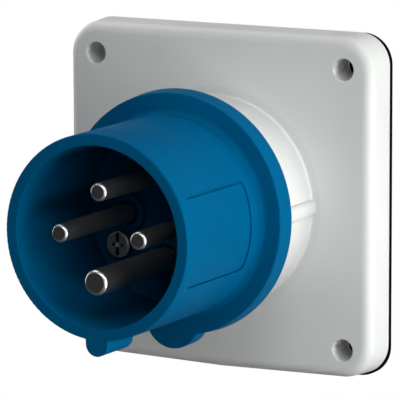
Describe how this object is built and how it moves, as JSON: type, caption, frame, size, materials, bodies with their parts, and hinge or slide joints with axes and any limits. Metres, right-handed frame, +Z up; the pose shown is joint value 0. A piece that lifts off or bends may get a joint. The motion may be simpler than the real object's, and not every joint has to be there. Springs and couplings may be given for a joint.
{
  "type": "industrial appliance inlet",
  "caption": "Straight panel-mounted power inlet: square gasketed flange with a round boss, and a keyed round shroud around contact pins with screw terminals behind.",
  "frame": {"origin": "centre of the fixing-hole pattern, on the panel plane at the back of the gasket", "axes": "+Y into the panel, so the shroud points along -Y; +X to the right seen from the front; +Z up, with the key nub at the bottom"},
  "size_m": [0.096, 0.0801, 0.096],
  "materials": {
    "housing_plastic": "fine-textured light grey moulding",
    "gasket_rubber": "soft black sheet",
    "shroud_plastic": "satin blue moulding",
    "seal_rubber": "black ring",
    "nut_plastic": "grey moulding",
    "carrier_plastic": "dark moulding",
    "contact_metal": "dark nickel plating",
    "screw_steel": "zinc plated"
  },
  "bodies": {
    "root": {"flange_plate": "housing_plastic", "flange_boss": "housing_plastic", "flange_gasket": "gasket_rubber", "shroud_sleeve": "shroud_plastic", "sleeve_seal": "seal_rubber", "sleeve_ring_nut": "nut_plastic", "contact_carrier_front": "carrier_plastic", "contact_carrier_rear": "carrier_plastic", "contact_pin_top": "contact_metal", "contact_pin_left": "contact_metal", "contact_pin_right": "contact_metal", "earth_pin": "contact_metal", "terminal_screw_top": "screw_steel", "terminal_screw_left": "screw_steel", "terminal_screw_right": "screw_steel", "terminal_screw_earth": "screw_steel", "carrier_screw_lower": "screw_steel", "carrier_screw_upper": "screw_steel", "carrier_nut_lower": "screw_steel", "carrier_nut_upper": "screw_steel", "carrier_joint_screw_left": "screw_steel", "carrier_joint_screw_right": "screw_steel"}
  },
  "joints": []
}
